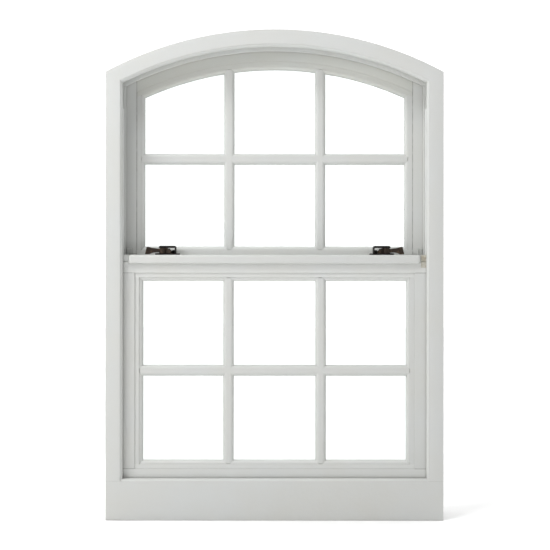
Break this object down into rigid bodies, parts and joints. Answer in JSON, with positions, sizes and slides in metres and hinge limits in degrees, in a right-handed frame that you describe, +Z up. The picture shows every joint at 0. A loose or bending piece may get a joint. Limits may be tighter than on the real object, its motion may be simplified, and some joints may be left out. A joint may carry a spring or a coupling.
{
  "type": "sash window",
  "caption": "Arched double-hung sash window in its frame: sliding sashes, divided double glazing, chamfered stops, flat casing and turning sash locks.",
  "frame": {"origin": "middle of the bottom face, half-way through the depth", "axes": "+Z up, -Y towards the room (the casing side), +X to the right seen from the room"},
  "size_m": [0.967, 0.176, 1.405],
  "materials": {
    "painted_wood": "satin white paint",
    "clear_glass": "clear",
    "dark_bronze": "dark bronze, satin",
    "steel": "zinc plated",
    "spacer": "mill",
    "balance_metal": "light grey, satin",
    "seal": "matte",
    "cream_plastic": "matte",
    "pad_pile": "matte, ribbed"
  },
  "bodies": {
    "frame": {"jamb_left": "painted_wood", "jamb_right": "painted_wood", "head_jamb": "painted_wood", "sill": "painted_wood", "sub_sill": "painted_wood", "casing_left": "painted_wood", "casing_right": "painted_wood", "casing_head": "painted_wood", "casing_bottom": "painted_wood", "inside_stop_left": "painted_wood", "inside_stop_right": "painted_wood", "inside_stop_head": "painted_wood", "inside_stop_bottom": "painted_wood", "parting_stop_left": "painted_wood", "parting_stop_right": "painted_wood", "parting_stop_head": "painted_wood", "outside_stop_left": "painted_wood", "outside_stop_right": "painted_wood", "outside_stop_head": "painted_wood", "frame_screws": "steel", "lower_balance_tubes": "balance_metal", "upper_balance_tubes": "balance_metal", "balance_screws": "steel"},
    "lower_sash": {"lower_stile_left": "painted_wood", "lower_stile_right": "painted_wood", "lower_bottom_rail": "painted_wood", "lower_check_rail": "painted_wood", "lower_nosing": "painted_wood", "lower_end_plugs": "cream_plastic", "lower_inner_pane": "clear_glass", "lower_outer_pane": "clear_glass", "lower_spacer": "spacer", "lower_inner_bars": "painted_wood", "lower_outer_bars": "painted_wood", "lower_glazing_beads": "painted_wood", "lower_bottom_seal": "seal", "lower_balance_rods": "balance_metal", "lock_body_left": "dark_bronze", "lock_body_right": "dark_bronze", "lock_pins": "steel", "lock_screws": "dark_bronze"},
    "upper_sash": {"upper_stile_left": "painted_wood", "upper_stile_right": "painted_wood", "upper_head_rail": "painted_wood", "upper_check_rail": "painted_wood", "upper_inner_pane": "clear_glass", "upper_outer_pane": "clear_glass", "upper_spacer": "spacer", "upper_inner_bars": "painted_wood", "upper_outer_bars": "painted_wood", "upper_glazing_beads": "painted_wood", "head_seal": "seal", "meeting_seal": "seal", "dust_pads": "pad_pile", "keeper_left": "dark_bronze", "keeper_right": "dark_bronze", "keeper_screws": "dark_bronze", "upper_balance_rods": "balance_metal"},
    "lock_left": {"lock_lever_left": "dark_bronze"},
    "lock_right": {"lock_lever_right": "dark_bronze"}
  },
  "joints": [
    {"name": "lower_sash_slide", "type": "slide", "parent": "frame", "child": "lower_sash", "axis": [0, 0, 1], "range_m": [0, 0.44]},
    {"name": "upper_sash_slide", "type": "slide", "parent": "frame", "child": "upper_sash", "axis": [0, 0, -1], "range_m": [0, 0.43]},
    {"name": "lock_left_turn", "type": "hinge", "parent": "lower_sash", "child": "lock_left", "pos_m": [-0.324, -0.03, 0.77], "axis": [0, 0, 1], "range_deg": [0, 100]},
    {"name": "lock_right_turn", "type": "hinge", "parent": "lower_sash", "child": "lock_right", "pos_m": [0.324, -0.03, 0.77], "axis": [0, 0, -1], "range_deg": [0, 100]}
  ]
}
